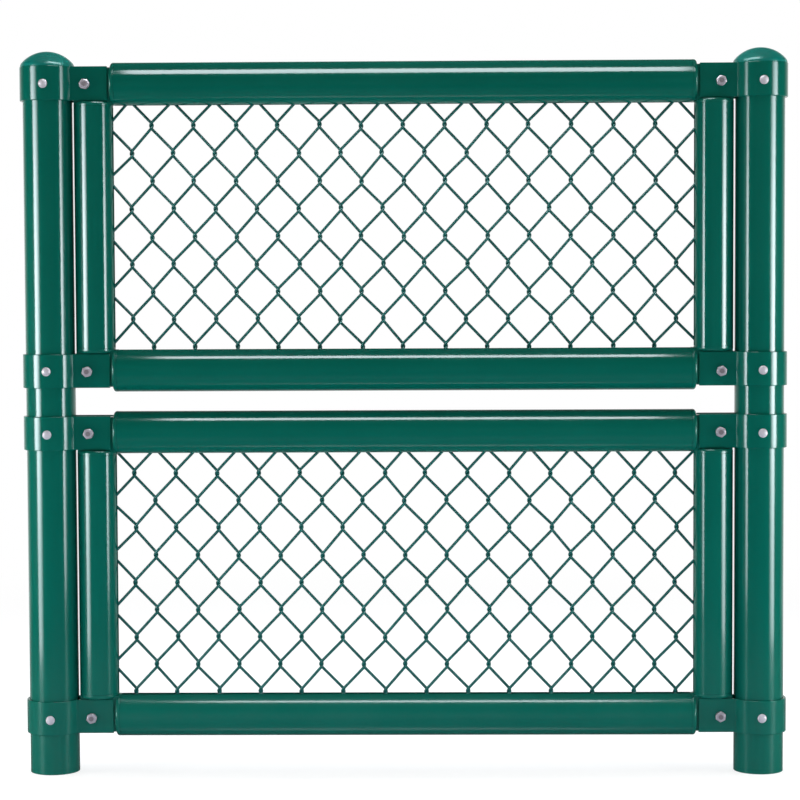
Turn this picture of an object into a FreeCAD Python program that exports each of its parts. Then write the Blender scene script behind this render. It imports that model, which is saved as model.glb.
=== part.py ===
"""Chain link fence panel: two posts carry two framed chain link panels, one above the other.

Frame: millimetres, +X along the fence, +Y towards its back, +Z up. The origin is the centre of
the left post's foot.
"""
import FreeCAD, Part
import math
import os

import Sketcher

Vector = FreeCAD.Vector
Rotation = FreeCAD.Rotation

X_AXIS = Vector(1, 0, 0)
Y_AXIS = Vector(0, 1, 0)
Z_AXIS = Vector(0, 0, 1)

# Turns that make the twins of a piece: about the fence's length, its depth and its height
OVER = Rotation(X_AXIS, 180)
ACROSS = Rotation(Y_AXIS, 180)
ABOUT = Rotation(Z_AXIS, 180)
SLOT_RIGHT = Rotation(Z_AXIS, 90)
SLOT_LEFT = Rotation(Z_AXIS, -90)

# Names for a sketch's own numbers: ends of a curve, the origin point and the upright axis
START = 1
END = 2
CENTRE = 3
ORIGIN = -1
UPRIGHT_AXIS = -2

# First guesses for the sketches, in millimetres and degrees, which their constraints then settle
SLOT_SPAN = (-80, 260)
EAR_SPAN = (29, 331)
SHOULDER_SPAN = (0, 41)
CROWN_SPAN = (41, 90)
TUBE_RADII = (30, 28)
SLOT_HALF = 7
BAND_RADII = (42, 38)
EAR_ROOT = 35
EAR_TIP = 94
EAR_FACE = 20
EAR_BACK = 16
SHOULDER_CENTRE = Vector(32, 26, 0)
SHOULDER_RADII = (10, 6)
CROWN_CENTRE = Vector(0, -3, 0)
CROWN_RADII = (53, 49)

# How far past a knot's middle a wire hooks, as a share of its diameter
HOOK_SHARE = 0.3
# The kind of turn that a bar makes
MITRED = 1
# How near two places must be to count as the same, in millimetres
MODEL_TOLERANCE = 0.01

# Driving dimensions in millimetres: name, value, what it measures
DIMENSIONS = (
    ("post_spacing", 1080, "between the axes of the two posts"),
    ("post_diameter", 75, "outside of a post"),
    ("post_wall", 2.5, "wall of a post"),
    ("foot_to_rail", 87, "from the foot of the posts up to the axis of the lowest rail"),
    ("rail_span", 434.5, "between the axes of a panel's two rails"),
    ("panel_gap", 29.5, "clear gap between the two panels"),
    ("rail_diameter", 65, "outside of a rail"),
    ("rail_wall", 2, "wall of a rail"),
    ("stile_diameter", 60, "outside of a stile"),
    ("stile_wall", 2, "wall of a stile"),
    ("stile_gap", 2.2, "clear gap between a post and the stile beside it"),
    ("hoop_height", 51.5, "height of a hoop's band and ears"),
    ("hoop_wall", 4, "thickness of a hoop's band and ears"),
    ("ear_width", 40, "over the outer faces of a hoop's two ears"),
    ("ear_reach", 93.5, "from a post's axis to the end of the ears"),
    ("ear_bend", 5, "radius of the bend between band and ear"),
    ("dome_rise", 24, "height of a cap's dome above its band"),
    ("dome_shoulder", 10, "rounding between a cap's band and the crown of its dome"),
    ("dome_step", 0.4, "width of the ledge on top of a cap's band, round the foot of its dome"),
    ("rail_shoulder", 97, "from a post's axis to the end of a rail's collar"),
    ("stile_shoulder", 27, "from a rail's axis to the end of a stile's collar"),
    ("collar_length", 7, "length of a corner's collars"),
    ("collar_rounding", 4, "rounded rim of a corner's collars"),
    ("tongue_length", 35, "depth of a corner's tongues in the tubes"),
    ("tongue_height", 26, "height of a corner's flat tongues, which clears the mesh"),
    ("block_start", 42, "from a post's axis to the near end of a corner's block"),
    ("block_recess", 1.5, "depth of a corner's block below the edge of the ears"),
    ("wire_diameter", 4.4, "coated wire of the mesh"),
    ("diamond_width", 63.6, "between neighbouring knots in a row"),
    ("diamond_height", 84, "between neighbouring knots in a column"),
    ("mesh_depth", 8, "between the wire axes of the mesh's front and back legs"),
    ("knot_rise", 12.5, "height that a wire climbs as it turns round a knot"),
    ("first_knot", 35, "from the lower rail's axis up to the first row of knots"),
    ("mesh_inset", 10, "depth of the mesh's edge inside the tubes"),
    ("seat_clearance", 0.3, "clearance where one piece seats on another"),
)

# Places worked out from the driving dimensions
POST_RADIUS = "dims.post_diameter / 2"
RAIL_RADIUS = "dims.rail_diameter / 2"
STILE_RADIUS = "dims.stile_diameter / 2"
HOOP_BORE = f"({POST_RADIUS} + dims.seat_clearance)"
HOOP_RADIUS = f"({HOOP_BORE} + dims.hoop_wall)"
EAR_OUTSIDE = "dims.ear_width / 2"
EAR_INSIDE = f"({EAR_OUTSIDE} - dims.hoop_wall)"
WIRE_CORNER = "(dims.wire_diameter * sqrt(pi / 8))"
SLOT_WIDTH = f"(dims.mesh_depth + 2 * {WIRE_CORNER} + 2 * dims.seat_clearance)"
STILE_AXIS = f"({POST_RADIUS} + dims.stile_gap + {STILE_RADIUS})"
PANEL_PITCH = "(dims.rail_span + dims.rail_diameter + dims.panel_gap)"
RAIL_START = "(dims.rail_shoulder + dims.collar_length + dims.seat_clearance)"
STILE_START = "(dims.stile_shoulder + dims.collar_length + dims.seat_clearance)"
LOWER_PANEL = "dims.foot_to_rail"
UPPER_PANEL = f"({LOWER_PANEL} + {PANEL_PITCH})"
TOP_RAIL = f"({UPPER_PANEL} + dims.rail_span)"
RIGHT_SIDE = "dims.post_spacing"

doc = FreeCAD.newDocument("chain_link_fence_panel")
dims = doc.addObject("Spreadsheet::Sheet", "dims")
for row, (alias, number, meaning) in enumerate(DIMENSIONS, start=1):
    dims.set(f"A{row}", meaning)
    dims.set(f"B{row}", str(number))
    dims.setAlias(f"B{row}", alias)
doc.recompute()

sub_parts = []


def bind(item, **expressions):
    """Tie properties of an object to the sheet; a double underscore in a name stands for a dot."""
    for name, expression in expressions.items():
        item.setExpression(name.replace("__", "."), expression)


def finish(item, label, x="0", z="0", turn=Rotation()):
    """Name a sub-part, turn it and put it in its place."""
    item.Label = label
    item.Placement = FreeCAD.Placement(Vector(), turn)
    bind(item, Placement__Base__x=x, Placement__Base__z=z)
    sub_parts.append(item)


def add_body(label):
    return doc.addObject("PartDesign::Body", f"{label}_body")


def add_sketch(body, name, plane_role):
    """A sketch on one of the body's own origin planes."""
    plane = next(item for item in body.Origin.OriginFeatures if item.Role == plane_role)
    sketch = body.newObject("Sketcher::SketchObject", name)
    sketch.AttachmentSupport = (plane, "")
    sketch.MapMode = "FlatFace"
    return sketch


def add_pad(body, sketch, name, length, midplane=False):
    pad = body.newObject("PartDesign::Pad", name)
    pad.Profile = sketch
    pad.Midplane = midplane
    bind(pad, Length=length)
    return pad


def constrain(sketch, expression, *constraint):
    """Add a sketch dimension and tie it to the sheet."""
    size = float(sketch.evalExpression(expression))
    index = sketch.addConstraint(Sketcher.Constraint(*constraint, size))
    bind(sketch, **{f"Constraints[{index}]": expression})


def join(sketch, first, first_end, second, second_end):
    sketch.addConstraint(Sketcher.Constraint("Coincident", first, first_end, second, second_end))


def add_line(sketch, start, end, lie):
    """Straight line between two rough points, held upright or level."""
    line = sketch.addGeometry(Part.LineSegment(Vector(*start), Vector(*end)))
    sketch.addConstraint(Sketcher.Constraint(lie, line))
    return line


def add_arc(sketch, rough_radius, span, rough_centre=None):
    """Arc over a span in degrees, centred on the sketch's origin unless it has a centre of its own."""
    start, end = (math.radians(angle) for angle in span)
    circle = Part.Circle(rough_centre or Vector(), Z_AXIS, rough_radius)
    arc = sketch.addGeometry(Part.ArcOfCircle(circle, start, end))
    if rough_centre is None:
        join(sketch, arc, CENTRE, ORIGIN, START)
    return arc


def add_post(label, **place):
    """Round tube, cut square at its foot, closed at the top by its cap."""
    body = add_body(label)
    sketch = add_sketch(body, f"{label}_section", "XY_Plane")
    for radius in (POST_RADIUS, f"{POST_RADIUS} - dims.post_wall"):
        circle = sketch.addGeometry(Part.Circle(Vector(), Z_AXIS, TUBE_RADII[0]))
        join(sketch, circle, CENTRE, ORIGIN, START)
        constrain(sketch, radius, "Radius", circle)
    add_pad(body, sketch, f"{label}_tube", f"{TOP_RAIL} + dims.hoop_height / 2 - dims.seat_clearance")
    finish(body, label, **place)


def add_slotted_tube(label, plane_role, radius, wall, length, **place):
    """Tube with a slot along its lower side for the edge of the mesh."""
    body = add_body(label)
    sketch = add_sketch(body, f"{label}_section", plane_role)
    outer, inner = (add_arc(sketch, guess, SLOT_SPAN) for guess in TUBE_RADII)
    for side, end in ((1, START), (-1, END)):
        x = SLOT_HALF * side
        lip = add_line(sketch, (x, -TUBE_RADII[1]), (x, -TUBE_RADII[0]), "Vertical")
        join(sketch, lip, START, inner, end)
        join(sketch, lip, END, outer, end)
        across = (ORIGIN, START, lip, START) if side > 0 else (lip, START, ORIGIN, START)
        constrain(sketch, f"{SLOT_WIDTH} / 2", "DistanceX", *across)
    constrain(sketch, radius, "Radius", outer)
    constrain(sketch, f"{radius} - {wall}", "Radius", inner)
    add_pad(body, sketch, f"{label}_tube", length)
    finish(body, label, **place)


def add_hoop_band(body, label):
    """Band round the post that bends out into two flat ears, in front of a panel's corner and behind it."""
    sketch = add_sketch(body, f"{label}_plan", "XY_Plane")
    outer, inner = (add_arc(sketch, guess, EAR_SPAN) for guess in BAND_RADII)
    for side, end in ((1, START), (-1, END)):
        face_y = EAR_FACE * side
        back_y = EAR_BACK * side
        face = add_line(sketch, (EAR_ROOT, face_y), (EAR_TIP, face_y), "Horizontal")
        tip = add_line(sketch, (EAR_TIP, face_y), (EAR_TIP, back_y), "Vertical")
        back = add_line(sketch, (EAR_TIP, back_y), (EAR_ROOT, back_y), "Horizontal")
        join(sketch, outer, end, face, START)
        join(sketch, face, END, tip, START)
        join(sketch, tip, END, back, START)
        join(sketch, back, END, inner, end)
        for line, offset in ((face, EAR_OUTSIDE), (back, EAR_INSIDE)):
            outward = (ORIGIN, START, line, START) if side > 0 else (line, START, ORIGIN, START)
            constrain(sketch, offset, "DistanceY", *outward)
        constrain(sketch, "dims.ear_reach", "DistanceX", ORIGIN, START, tip, START)
    constrain(sketch, HOOP_RADIUS, "Radius", outer)
    constrain(sketch, HOOP_BORE, "Radius", inner)
    band = add_pad(body, sketch, f"{label}_band", "dims.hoop_height", midplane=True)
    doc.recompute()
    bend = body.newObject("PartDesign::Fillet", f"{label}_bends")
    bend.Base = (band, ear_roots(band.Shape))
    bind(bend, Radius="dims.ear_bend")


def ear_roots(shape):
    """Names of the two upright edges where the outside of the band meets the outer faces of the ears."""
    half_width = dims.ear_width / 2
    radius = dims.post_diameter / 2 + dims.seat_clearance + dims.hoop_wall
    names = []
    for number, edge in enumerate(shape.Edges, start=1):
        middle = edge.CenterOfMass
        on_face = math.isclose(abs(middle.y), half_width, abs_tol=MODEL_TOLERANCE)
        on_band = math.isclose(math.hypot(middle.x, middle.y), radius, abs_tol=MODEL_TOLERANCE)
        if on_face and on_band:
            names.append(f"Edge{number}")
    return names


def add_hoop(label, **place):
    body = add_body(label)
    add_hoop_band(body, label)
    finish(body, label, **place)


def add_dome_skin(sketch, rim, rim_end, axis, axis_end, shoulder_guess, crown_guess):
    """One face of the dome's section: a shoulder that rises from the rim and runs smoothly into the crown."""
    shoulder = add_arc(sketch, shoulder_guess, SHOULDER_SPAN, SHOULDER_CENTRE)
    crown = add_arc(sketch, crown_guess, CROWN_SPAN, CROWN_CENTRE)
    join(sketch, rim, rim_end, shoulder, START)
    sketch.addConstraint(Sketcher.Constraint("Tangent", shoulder, END, crown, START))
    join(sketch, crown, END, axis, axis_end)
    return shoulder, crown


def add_cap_hoop(label, **place):
    """Hoop for the top of a post, closed above by a dome of the band's thickness with a round shoulder."""
    body = add_body(label)
    add_hoop_band(body, label)
    sketch = add_sketch(body, f"{label}_dome_section", "XZ_Plane")
    rim_height = SHOULDER_CENTRE.y
    rim = add_line(sketch, (BAND_RADII[1], rim_height), (BAND_RADII[0], rim_height), "Horizontal")
    axis = add_line(sketch, (0, CROWN_RADII[1]), (0, CROWN_RADII[0]), "Vertical")
    shoulder, crown = add_dome_skin(sketch, rim, END, axis, END, SHOULDER_RADII[0], CROWN_RADII[0])
    lining = add_dome_skin(sketch, rim, START, axis, START, SHOULDER_RADII[1], CROWN_RADII[1])
    join(sketch, shoulder, CENTRE, lining[0], CENTRE)
    join(sketch, crown, CENTRE, lining[1], CENTRE)
    for corner in (CENTRE, END):
        sketch.addConstraint(Sketcher.Constraint("PointOnObject", crown, corner, UPRIGHT_AXIS))
    apex = "dims.hoop_height / 2 + dims.dome_rise"
    constrain(sketch, "dims.hoop_height / 2", "DistanceY", ORIGIN, START, rim, END)
    constrain(sketch, "dims.hoop_height / 2", "DistanceY", ORIGIN, START, shoulder, CENTRE)
    constrain(sketch, f"{HOOP_RADIUS} - dims.dome_step", "DistanceX", ORIGIN, START, rim, END)
    constrain(sketch, "dims.dome_shoulder", "Radius", shoulder)
    constrain(sketch, apex, "DistanceY", ORIGIN, START, axis, END)
    constrain(sketch, f"{apex} - dims.hoop_wall", "DistanceY", ORIGIN, START, axis, START)
    dome = body.newObject("PartDesign::Revolution", f"{label}_dome")
    dome.Profile = sketch
    dome.ReferenceAxis = (sketch, ["V_Axis"])
    dome.Angle = 360
    finish(body, label, **place)


def add_box(name, low, size):
    """Box centred on the XZ plane: its low X and Z, then its length, width and height."""
    box = doc.addObject("Part::Box", name)
    low_x, low_z = low
    length, width, height = size
    bind(box, Length=length, Width=width, Height=height)
    bind(box, Placement__Base__x=low_x, Placement__Base__y=f"-({width}) / 2", Placement__Base__z=low_z)
    return box


def add_collar(name, radius, direction):
    """Short round shoulder that carries the outline of a tube on to its end, with a rounded rim."""
    disc = doc.addObject("Part::Cylinder", f"{name}_disc")
    bind(disc, Radius=radius, Height="dims.collar_length")
    doc.recompute()
    collar = doc.addObject("Part::Fillet", name)
    collar.Base = disc
    rounding = float(dims.collar_rounding)
    for number, edge in enumerate(disc.Shape.Edges, start=1):
        if edge.BoundBox.ZMax < MODEL_TOLERANCE:
            collar.Edges = [(number, rounding, rounding)]
    collar.Placement = FreeCAD.Placement(Vector(), Rotation(Z_AXIS, direction))
    return collar


def add_corner(label, **place):
    """Casting that joins a rail to a stile: a block between a hoop's ears, with a collar and a tongue each."""
    block_foot = "(dims.stile_shoulder + dims.collar_length / 2)"
    block_length = "dims.rail_shoulder + dims.collar_length / 2 - dims.block_start"
    block_width = f"2 * ({EAR_INSIDE} - dims.seat_clearance)"
    block_height = f"{block_foot} + dims.hoop_height / 2 - dims.block_recess"
    half_tongue = "dims.tongue_height / 2"
    tongue_length = "(dims.tongue_length + dims.collar_length)"
    rail_bore = f"({RAIL_RADIUS} - dims.rail_wall - dims.seat_clearance)"
    stile_bore = f"({STILE_RADIUS} - dims.stile_wall - dims.seat_clearance)"
    rail_tongue_width = f"2 * sqrt({rail_bore}^2 - ({half_tongue})^2)"
    stile_tongue_width = f"2 * sqrt({stile_bore}^2 - ({half_tongue})^2)"
    block = add_box(
        f"{label}_block",
        ("dims.block_start", f"-{block_foot}"),
        (block_length, block_width, block_height),
    )
    rail_tongue = add_box(
        f"{label}_rail_tongue",
        ("dims.rail_shoulder", f"-{half_tongue}"),
        (tongue_length, rail_tongue_width, "dims.tongue_height"),
    )
    stile_tongue = add_box(
        f"{label}_stile_tongue",
        (f"{STILE_AXIS} - {half_tongue}", f"-(dims.stile_shoulder + {tongue_length})"),
        ("dims.tongue_height", stile_tongue_width, tongue_length),
    )
    rail_collar = add_collar(f"{label}_rail_collar", RAIL_RADIUS, X_AXIS)
    bind(rail_collar, Placement__Base__x="dims.rail_shoulder")
    stile_collar = add_collar(f"{label}_stile_collar", STILE_RADIUS, -Z_AXIS)
    bind(stile_collar, Placement__Base__x=STILE_AXIS, Placement__Base__z="-dims.stile_shoulder")
    corner = doc.addObject("Part::MultiFuse", f"{label}_casting")
    corner.Shapes = [block, rail_tongue, stile_tongue, rail_collar, stile_collar]
    finish(corner, label, **place)


def picket_path(column, rows, knot_parity):
    """Points of one wire of the mesh, a flattened spiral that climbs between two columns of knots.

    Its legs to the right lie in front and its legs to the left behind. At each knot it turns from one
    to the other just past the neighbouring wire, which turns the opposite way, so that the two hook
    into each other.
    """
    half_width = dims.diamond_width / 2
    half_depth = dims.mesh_depth / 2
    half_rise = dims.knot_rise / 2
    hook = dims.wire_diameter * HOOK_SHARE
    points = []
    for row in rows:
        height = dims.first_knot + row * dims.diamond_height / 2
        at_left = (column + row + knot_parity) % 2 == 0
        x = column * half_width - hook if at_left else (column + 1) * half_width + hook
        arrival = half_depth if at_left else -half_depth
        points.append(Vector(x, arrival, height - half_rise))
        points.append(Vector(x, -arrival, height + half_rise))
    return points


def bar_along(points):
    """Square bar of the round wire's area of section, carried along straight runs with mitred turns."""
    along = (points[1] - points[0]).normalize()
    across = along.cross(Y_AXIS).normalize()
    corner = dims.wire_diameter * math.sqrt(math.pi / 8)
    steps = [Rotation(along, angle).multVec(across) * corner for angle in (45, 135, 225, 315, 405)]
    section = Part.makePolygon([points[0] + step for step in steps])
    return Part.makePolygon(points).makePipeShell([section], True, False, MITRED)


def add_mesh(label, knot_parity, **place):
    """Chain link mesh of one panel, woven from upright wires and cut to size inside its tubes' slots."""
    half_span = dims.post_spacing / 2
    stile_axis = (dims.post_diameter + dims.stile_diameter) / 2 + dims.stile_gap
    side_edge = half_span - stile_axis - dims.stile_diameter / 2 + dims.stile_wall + dims.mesh_inset
    low_edge = dims.rail_diameter / 2 - dims.rail_wall - dims.mesh_inset
    high_edge = dims.rail_span - low_edge
    depth = 2 * (dims.mesh_depth + dims.wire_diameter)
    columns = math.ceil(2 * side_edge / dims.diamond_width)
    first_row = math.floor(2 * (low_edge - dims.first_knot) / dims.diamond_height) - 1
    last_row = math.ceil(2 * (high_edge - dims.first_knot) / dims.diamond_height) + 1
    rows = range(first_row, last_row + 1)
    wires = [bar_along(picket_path(column, rows, knot_parity)) for column in range(-columns, columns)]
    low_corner = Vector(-side_edge, -depth / 2, low_edge)
    opening = Part.makeBox(2 * side_edge, depth, high_edge - low_edge, low_corner)
    mesh = doc.addObject("Part::Feature", f"{label}_weave")
    mesh.Shape = wires[0].multiFuse(wires[1:]).common(opening)
    finish(mesh, label, **place)


for side, x, turn in (("left", "0", Rotation()), ("right", RIGHT_SIDE, ABOUT)):
    add_post(f"{side}_post", x=x)
    add_cap_hoop(f"{side}_cap_hoop", x=x, z=TOP_RAIL, turn=turn)
    add_hoop(f"{side}_upper_middle_hoop", x=x, z=UPPER_PANEL, turn=turn)
    add_hoop(f"{side}_lower_middle_hoop", x=x, z=f"{LOWER_PANEL} + dims.rail_span", turn=turn)
    add_hoop(f"{side}_bottom_hoop", x=x, z=LOWER_PANEL, turn=turn)

rail_length = f"dims.post_spacing - 2 * {RAIL_START}"
stile_length = f"dims.rail_span - 2 * {STILE_START}"
left_stile = STILE_AXIS
right_stile = f"dims.post_spacing - {STILE_AXIS}"
rail = ("YZ_Plane", RAIL_RADIUS, "dims.rail_wall", rail_length)
stile = ("XY_Plane", STILE_RADIUS, "dims.stile_wall", stile_length)
for panel, low, knot_parity in (("upper", UPPER_PANEL, 0), ("lower", LOWER_PANEL, 1)):
    high = f"{low} + dims.rail_span"
    foot = f"{low} + {STILE_START}"
    add_slotted_tube(f"{panel}_panel_top_rail", *rail, x=RAIL_START, z=high)
    add_slotted_tube(f"{panel}_panel_bottom_rail", *rail, x=RAIL_START, z=low, turn=OVER)
    add_slotted_tube(f"{panel}_panel_left_stile", *stile, x=left_stile, z=foot, turn=SLOT_RIGHT)
    add_slotted_tube(f"{panel}_panel_right_stile", *stile, x=right_stile, z=foot, turn=SLOT_LEFT)
    add_corner(f"{panel}_panel_top_left_corner", z=high)
    add_corner(f"{panel}_panel_top_right_corner", x=RIGHT_SIDE, z=high, turn=ABOUT)
    add_corner(f"{panel}_panel_bottom_left_corner", z=low, turn=OVER)
    add_corner(f"{panel}_panel_bottom_right_corner", x=RIGHT_SIDE, z=low, turn=ACROSS)
    add_mesh(f"{panel}_mesh", knot_parity, x="dims.post_spacing / 2", z=low)

doc.recompute()
for item in doc.Objects:
    if any(state in ("Invalid", "Error") for state in item.State):
        raise RuntimeError(f"{item.Name} did not build")

os.makedirs("parts", exist_ok=True)
for item in sub_parts:
    shape = item.Shape
    if shape.isNull() or not shape.isValid():
        raise RuntimeError(f"{item.Label} has no valid shape")
    shape.exportStep(f"parts/{item.Label}.step")
    print(f"{item.Label}: {shape.Volume:.0f} cubic millimetres")
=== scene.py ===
"""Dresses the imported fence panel: woven wire, pressed hoops, fasteners, coatings and a plain studio."""

import math

import bpy
import numpy as np
from mathutils import Matrix, Vector


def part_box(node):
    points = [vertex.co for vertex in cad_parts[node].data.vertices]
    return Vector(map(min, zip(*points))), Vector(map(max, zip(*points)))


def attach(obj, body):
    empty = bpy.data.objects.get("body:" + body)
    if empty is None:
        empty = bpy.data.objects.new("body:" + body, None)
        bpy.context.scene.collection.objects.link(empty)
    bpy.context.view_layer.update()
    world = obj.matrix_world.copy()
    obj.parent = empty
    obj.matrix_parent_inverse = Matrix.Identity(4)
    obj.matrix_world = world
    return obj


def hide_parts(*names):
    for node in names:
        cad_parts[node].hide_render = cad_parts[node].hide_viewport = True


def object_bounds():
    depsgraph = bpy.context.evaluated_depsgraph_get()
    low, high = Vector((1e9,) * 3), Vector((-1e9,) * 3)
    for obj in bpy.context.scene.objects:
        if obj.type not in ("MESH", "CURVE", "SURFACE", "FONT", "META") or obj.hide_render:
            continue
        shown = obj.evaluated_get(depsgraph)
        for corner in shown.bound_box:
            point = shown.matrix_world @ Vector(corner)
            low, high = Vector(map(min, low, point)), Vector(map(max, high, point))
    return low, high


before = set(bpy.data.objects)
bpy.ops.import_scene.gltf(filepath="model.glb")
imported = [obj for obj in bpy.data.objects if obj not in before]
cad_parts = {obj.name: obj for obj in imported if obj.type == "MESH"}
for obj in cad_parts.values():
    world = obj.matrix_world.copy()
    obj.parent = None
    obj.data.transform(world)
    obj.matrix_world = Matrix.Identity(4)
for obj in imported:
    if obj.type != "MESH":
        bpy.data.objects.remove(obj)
cad_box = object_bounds()

bl_info = {
    "name": "Chain link fence panel",
    "version": (1, 0, 0),
    "blender": (4, 5, 0),
    "location": "View3D > Sidebar > Fence",
    "description": "Weaves the mesh, presses the hoops, adds the fasteners and coats the fence panel",
    "category": "Object",
}

BODY = "root"
SIDES = ("left", "right")
PANELS = ("upper", "lower")
HOOPS = ("cap", "upper_middle", "lower_middle", "bottom")
TUBES = ("top_rail", "bottom_rail", "left_stile", "right_stile")
CORNERS = ("top_left", "top_right", "bottom_left", "bottom_right")

# Seeds of the weave's and the fasteners' unevenness
WEAVE_SEED = 20
FASTENER_SEED = 7

# Steps along an ear, its bend, half a band, a rounded edge, and a dome's shoulder and crown
EAR_STEPS = 4
BEND_STEPS = 7
BAND_STEPS = 40
EDGE_STEPS = 4
SHOULDER_STEPS = 9
CROWN_STEPS = 16
# How far round its quarter circle a strap's end is drawn in, in radians
END_TURN = 1.35
# Ledge of the band round the foot of a cap's dome, in metres
DOME_LEDGE = 0.0009
# How far the dome's underside lies above the band's top, so that no two faces lie in one place
DOME_LIFT = 0.00005

# Steps round a dome, a nut, a washer, a thread and a screw's head
DOME_ROUND = 64
NUT_ROUND = 48
WASHER_ROUND = 40
THREAD_ROUND = 24
SCREW_ROUND = 32
# Washer's thickness by its diameter, nut's height by the bolt's diameter, bolt head's height by the nut's
WASHER_THICKNESS = 0.08
NUT_HEIGHT = 0.8
HEAD_HEIGHT = 0.8
# How far a bolt stands past its nut by its diameter, and a screw head's height by its diameter
BOLT_PROUD = 0.25
SCREW_HEIGHT = 0.3
# Flat end face of a nut by its width, and how steeply its corners are turned off
NUT_FACE = 0.84
NUT_CONE = 0.62
# Where the flat face that closes a nut or a washer begins, as a share of its radius
CLOSING_SHARE = 0.3

# Size and height of the orange peel in the coat of each kind of piece, in metres
TUBE_PEEL = (0.004, 0.00002)
CASTING_PEEL = (0.003, 0.00004)
PRESSED_PEEL = (0.0035, 0.00003)
WIRE_PEEL = (0.02, 0.0)
# How much duller castings, domes and wires are than tubes
CASTING_DULLING = 0.06
DOME_DULLING = 0.14
WIRE_DULLING = 0.28
# How strongly a coat mirrors, changes its tone, gathers dust and turns dull under it
COAT_IOR = 1.36
WIRE_IOR = 1.35
TONE_CHANGE = 0.22
DUST_AMOUNT = 0.012
DUST_DULLING = 16.0
# How far the platings of screws and nuts and the bare thread are metal
SCREW_METAL = 0.15
NUT_METAL = 0.25
THREAD_METAL = 0.5

# Upright strip lights in metres: where each stands and aims across the fence, their depth, height and size
LEFT_STRIP = (-0.80, 0.288)
RIGHT_STRIP = (2.08, 0.797)
STRIP_DEPTH = 0.72
STRIP_HEIGHT = 0.735
STRIP_SIZE = (0.58, 1.45)
STRIP_SPREAD = math.radians(40)
# Strip light above the fence: depth, height and size
TOP_STRIP_DEPTH = -0.27
TOP_STRIP_HEIGHT = 1.52
TOP_STRIP_SIZE = (0.98, 0.24)
# Height that the lights above the fence aim at
TOP_AIM = 0.5
# How far the strips' flags reach past the part, across it, over stiles, above the part and over rails
PAST_FLAG = 1.0
ACROSS_FLAG = 2.0
STILE_FLAG = 0.11
SKY_FLAG = 0.5
RAIL_FLAG = 0.03
# How close the flags come to a tube
FLAG_GAP = 0.001
WHITE = (1, 1, 1)
# Floor: its radius, where it begins to turn plain white, its steps, its glow and how strongly it mirrors
FLOOR_REACH = 2.6
FLOOR_NEAR = 0.9
FLOOR_ROUND = 96
FLOOR_GLOW = 0.66
FLOOR_SHEEN = 0.16
# Brightness of the dim room in reflections, and of the light that comes from all round
ROOM_LEVEL = 0.03
AMBIENT_LEVEL = 0.26


# Surfaces as whole arrays of points

def grid_quads(rows, columns):
    """Corners of the quads of a grid of points that closes on itself along its columns, row by row."""
    row, column = np.meshgrid(np.arange(rows - 1), np.arange(columns), indexing="ij")
    beside = (column + 1) % columns
    corners = (row * columns + column, row * columns + beside,
               (row + 1) * columns + beside, (row + 1) * columns + column)
    return np.stack(corners, axis=-1).reshape(-1, 4)


def closed_skin(rings):
    """Skin over a stack of rings, with a flat face on the first and the last ring, facing outwards.

    The rings are an array of rows by columns by three. The skin's volume, the sum of the cones from the
    origin to its quads and end faces, tells whether its faces have to be turned round.
    """
    rows, columns, _ = rings.shape
    points = rings.reshape(-1, 3)
    quads = grid_quads(rows, columns)
    a, b, c, d = (points[quads[:, corner]] for corner in range(4))
    volume = np.einsum("ij,ij->", a, np.cross(b, c)) + np.einsum("ij,ij->", a, np.cross(c, d))
    for ring, sign in ((rings[0], -1), (rings[-1], 1)):
        hub = np.broadcast_to(ring[0], ring.shape)
        volume += sign * np.einsum("ij,ij->", hub, np.cross(ring, np.roll(ring, -1, axis=0)))
    faces = quads.tolist()
    faces.append(list(range(columns))[::-1])
    faces.append(list(range((rows - 1) * columns, rows * columns)))
    if volume < 0:
        faces = [face[::-1] for face in faces]
    return points, faces


def turned_rings(radius, height, segments, shape=1.0):
    """Rings of a turned form: at each step the profile's radius carried round the Z axis at its height.

    A shape gives, for each step and angle, the factor by which the radius departs from round.
    """
    angle = np.linspace(0, 2 * np.pi, segments, endpoint=False)
    x = radius[:, None] * np.cos(angle) * shape
    y = radius[:, None] * np.sin(angle) * shape
    z = np.broadcast_to(height[:, None], x.shape)
    return np.stack((x, y, z), axis=-1)


def placed(rings, place, towards, spin=0.0):
    """Rings made along +Z, spun about it, turned so that +Z points towards a direction, and moved."""
    turn = Vector(towards).to_track_quat("Z", "Y").to_matrix() @ Matrix.Rotation(spin, 3, "Z")
    return rings @ np.array(turn).T + np.array(place)


def make_piece(name, skins, sharp_angle=math.radians(40)):
    """One mesh object of several closed skins, which rides on the part."""
    points, faces, start = [], [], 0
    for skin_points, skin_faces in skins:
        points.append(skin_points)
        faces.extend([corner + start for corner in face] for face in skin_faces)
        start += len(skin_points)
    mesh = bpy.data.meshes.new(name)
    mesh.from_pydata(np.concatenate(points), [], faces)
    mesh.polygons.foreach_set("use_smooth", np.ones(len(faces), dtype=bool))
    mesh.set_sharp_from_angle(angle=sharp_angle)
    piece = bpy.data.objects.new(name, mesh)
    bpy.context.scene.collection.objects.link(piece)
    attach(piece, BODY)
    return piece


def even_flats(piece):
    """Keep the shading of wide flat faces even beside rounded edges."""
    weights = piece.modifiers.new("even flats", "WEIGHTED_NORMAL")
    weights.keep_sharp = True


# Weave

class Weave:
    """One panel's weave: its sizes, and the columns and rows of knots that it needs to fill its frame."""

    def __init__(self, sizes, parity, low, high, half_length):
        self.sizes = sizes
        self.parity = parity
        columns = math.ceil(2 * half_length / sizes.diamond_width)
        self.columns = np.arange(-columns, columns)
        first = math.floor(2 * (low - sizes.first_knot) / sizes.diamond_height) - 1
        last = math.ceil(2 * (high - sizes.first_knot) / sizes.diamond_height) + 1
        self.rows = np.arange(first, last + 1)


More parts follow.
